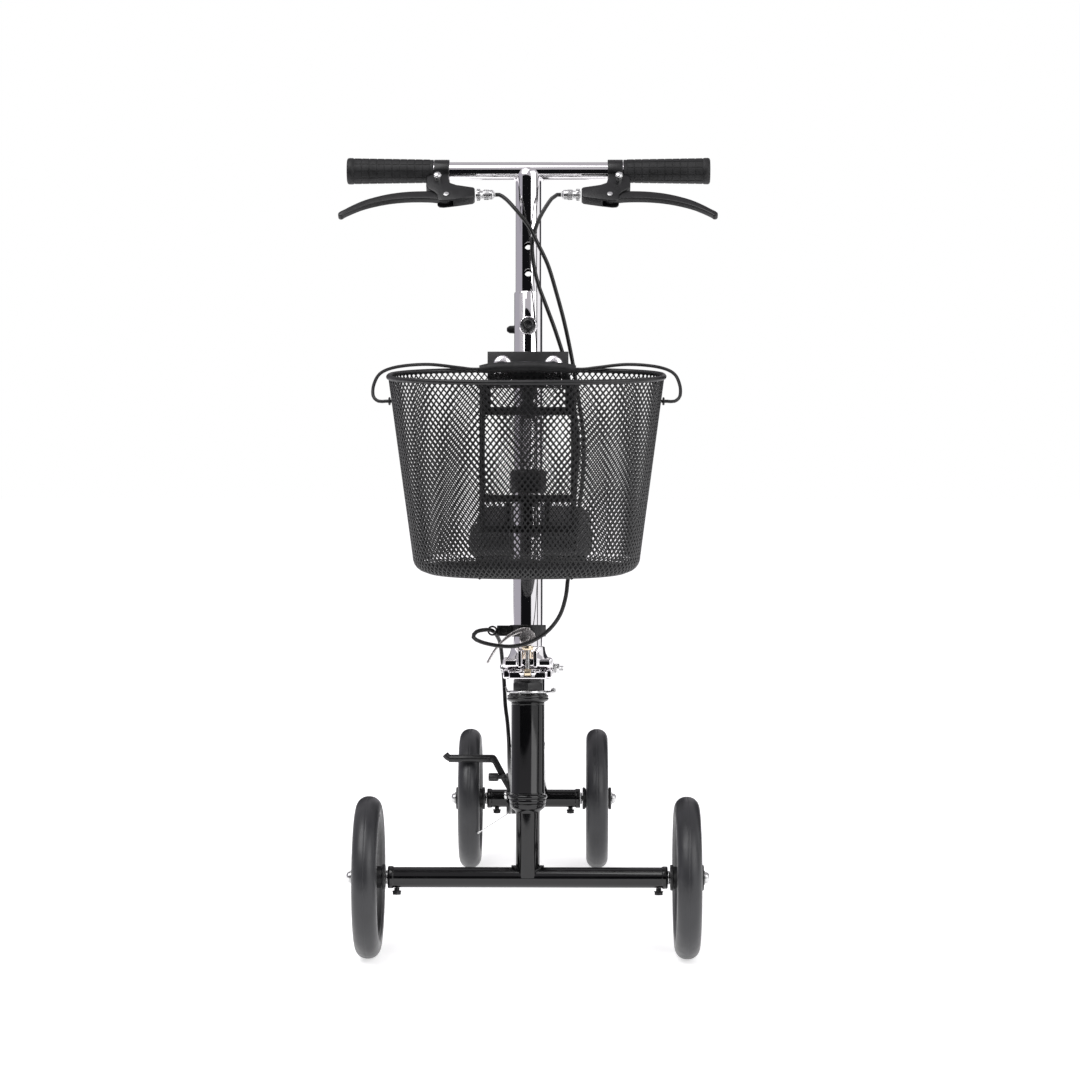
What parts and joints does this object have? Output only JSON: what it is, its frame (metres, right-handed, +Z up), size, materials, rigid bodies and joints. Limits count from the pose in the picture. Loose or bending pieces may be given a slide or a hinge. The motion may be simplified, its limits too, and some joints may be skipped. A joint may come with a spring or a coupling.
{
  "type": "knee scooter",
  "caption": "Steerable knee scooter with a folding column, mesh basket, hand brakes, a padded knee rest and solid-tyred wheels.",
  "frame": {"origin": "floor level, at the middle of the whole scooter's length and width", "axes": "+Z up, -Y the way the rider faces and rolls, +X to the rider's left"},
  "size_m": [0.467, 0.918, 0.9894],
  "materials": {
    "gloss_black": "gloss black powder coat on the frame and fork",
    "satin_black": "satin black coated steel and castings",
    "basket_black": "black coated expanded steel mesh and wire",
    "chrome": "polished chrome plate",
    "zinc_steel": "bright zinc plated steel",
    "cast_aluminium": "tumbled grey aluminium casting",
    "brass": "dull brass",
    "tyre_rubber": "dark grey solid polyurethane",
    "rim_plastic": "moulded black plastic",
    "grip_rubber": "black moulded rubber with a block pattern",
    "pad_vinyl": "black grained vinyl",
    "cable_sheath": "black plastic cable housing"
  },
  "bodies": {
    "frame": {"frame": "gloss_black", "lower_headset_cup": "gloss_black", "upper_headset_cup": "gloss_black", "rear_axle_bolt_left": "zinc_steel", "rear_axle_bolt_right": "zinc_steel", "rear_clamp_bolt_left": "satin_black", "rear_clamp_bolt_right": "satin_black", "brake_pivot_bolt": "zinc_steel", "rear_brake_cable": "cable_sheath"},
    "fork": {"fork": "gloss_black", "headset_locknut": "satin_black", "steering_clip": "chrome", "front_axle_bolt_left": "zinc_steel", "front_axle_bolt_right": "zinc_steel", "front_clamp_bolt_left": "satin_black", "front_clamp_bolt_right": "satin_black", "hinge_base": "chrome", "hinge_pin": "zinc_steel"},
    "wheel_front_left": {"tyre_front_left": "tyre_rubber", "rim_front_left": "rim_plastic"},
    "wheel_front_right": {"tyre_front_right": "tyre_rubber", "rim_front_right": "rim_plastic"},
    "wheel_rear_left": {"tyre_rear_left": "tyre_rubber", "rim_rear_left": "rim_plastic"},
    "wheel_rear_right": {"tyre_rear_right": "tyre_rubber", "rim_rear_right": "rim_plastic"},
    "latch": {"latch_bolt": "zinc_steel", "latch_washer": "brass"},
    "cam": {"cam_lever": "cast_aluminium"},
    "column": {"hinge_head": "chrome", "column_tube": "chrome", "cable_collar": "satin_black", "bracket_clamp": "satin_black", "basket_bracket": "satin_black", "bracket_screw_left": "chrome", "bracket_screw_right": "chrome", "basket": "basket_black", "cable_joiner": "satin_black", "brake_cable_left": "cable_sheath", "brake_cable_right": "cable_sheath"},
    "bail": {"basket_handle": "basket_black", "handle_grip": "grip_rubber"},
    "height_pin": {"height_knob": "satin_black"},
    "clamp": {"clamp_screw": "satin_black"},
    "bar": {"handlebar": "chrome", "grip_left": "grip_rubber", "grip_right": "grip_rubber", "lever_bracket_left": "satin_black", "lever_bracket_right": "satin_black", "barrel_adjuster_left": "zinc_steel", "barrel_adjuster_right": "zinc_steel"},
    "lever_left": {"brake_lever_left": "satin_black"},
    "lever_right": {"brake_lever_right": "satin_black"},
    "seat": {"seat_post": "chrome", "pad_board": "satin_black", "knee_pad": "pad_vinyl"},
    "seat_pin": {"seat_height_knob": "satin_black"},
    "brake": {"brake_arm": "satin_black", "brake_adjuster": "zinc_steel", "brake_inner_wire": "zinc_steel"}
  },
  "joints": [
    {"name": "steering", "type": "hinge", "parent": "frame", "child": "fork", "pos_m": [0, -0.24095, 0.1], "axis": [0, 0.1045, 0.9945], "range_deg": [-35, 35], "deforming": ["rear_brake_cable"]},
    {"name": "column_fold", "type": "hinge", "parent": "fork", "child": "column", "pos_m": [0, -0.18807, 0.35437], "axis": [-1, 0, 0], "range_deg": [0, 40]},
    {"name": "latch_swing", "type": "hinge", "parent": "fork", "child": "latch", "pos_m": [0, -0.24424, 0.35574], "axis": [1, 0, 0], "range_deg": [0, 102]},
    {"name": "cam_open", "type": "hinge", "parent": "latch", "child": "cam", "pos_m": [0, -0.23976, 0.39831], "axis": [0, 0.9945, -0.1045], "range_deg": [0, 100]},
    {"name": "bar_height", "type": "slide", "parent": "column", "child": "bar", "axis": [0, 0.1045, 0.9945], "range_m": [-0.0996, 0.0664], "deforming": ["brake_cable_left", "brake_cable_right"]},
    {"name": "height_pin_pull", "type": "slide", "parent": "column", "child": "height_pin", "axis": [0, -0.9945, 0.1045], "range_m": [0, 0.008], "stiffness_N_per_m": 600, "springref_m": -0.004},
    {"name": "clamp_screw_turn", "type": "hinge", "parent": "column", "child": "clamp", "pos_m": [0, -0.15218, 0.77723], "axis": [0, 0.9945, -0.1045], "range_deg": [0, 120]},
    {"name": "bail_swing", "type": "hinge", "parent": "column", "child": "bail", "pos_m": [0, -0.3329, 0.69151], "axis": [1, 0, 0], "range_deg": [0, 140]},
    {"name": "brake_lever_left_pull", "type": "hinge", "parent": "bar", "child": "lever_left", "pos_m": [0.101, -0.18516, 0.93826], "axis": [0, -0.6947, 0.7193], "range_deg": [0, 15], "stiffness_Nm_per_rad": 1.2, "springref_deg": -11.46},
    {"name": "brake_lever_right_pull", "type": "hinge", "parent": "bar", "child": "lever_right", "pos_m": [-0.101, -0.18516, 0.93826], "axis": [0, 0.6947, -0.7193], "range_deg": [0, 15], "stiffness_Nm_per_rad": 1.2, "springref_deg": -11.46},
    {"name": "brake_arm_swing", "type": "hinge", "parent": "frame", "child": "brake", "pos_m": [-0.0315, 0.27705, 0.118], "axis": [-1, 0, 0], "range_deg": [0, 3.8], "stiffness_Nm_per_rad": 1.5, "springref_deg": -5.73, "deforming": ["brake_inner_wire"]},
    {"name": "seat_height", "type": "slide", "parent": "frame", "child": "seat", "axis": [0, 0, 1], "range_m": [-0.065, 0.03]},
    {"name": "seat_pin_pull", "type": "slide", "parent": "frame", "child": "seat_pin", "axis": [0, 1, 0], "range_m": [0, 0.008], "stiffness_N_per_m": 600, "springref_m": -0.004},
    {"name": "front_left_spin", "type": "hinge", "parent": "fork", "child": "wheel_front_left", "pos_m": [0.197, -0.24095, 0.1], "axis": [1, 0, 0], "continuous": true},
    {"name": "front_right_spin", "type": "hinge", "parent": "fork", "child": "wheel_front_right", "pos_m": [-0.197, -0.24095, 0.1], "axis": [1, 0, 0], "continuous": true},
    {"name": "rear_left_spin", "type": "hinge", "parent": "frame", "child": "wheel_rear_left", "pos_m": [0.091, 0.35905, 0.1], "axis": [1, 0, 0], "continuous": true},
    {"name": "rear_right_spin", "type": "hinge", "parent": "frame", "child": "wheel_rear_right", "pos_m": [-0.091, 0.35905, 0.1], "axis": [1, 0, 0], "continuous": true}
  ],
  "couplings": [
    {"joint": "brake_arm_swing", "follows": "brake_lever_right_pull", "ratio": 0.25},
    {"joint": "latch_swing", "follows": "column_fold", "ratio": 2.5}
  ]
}
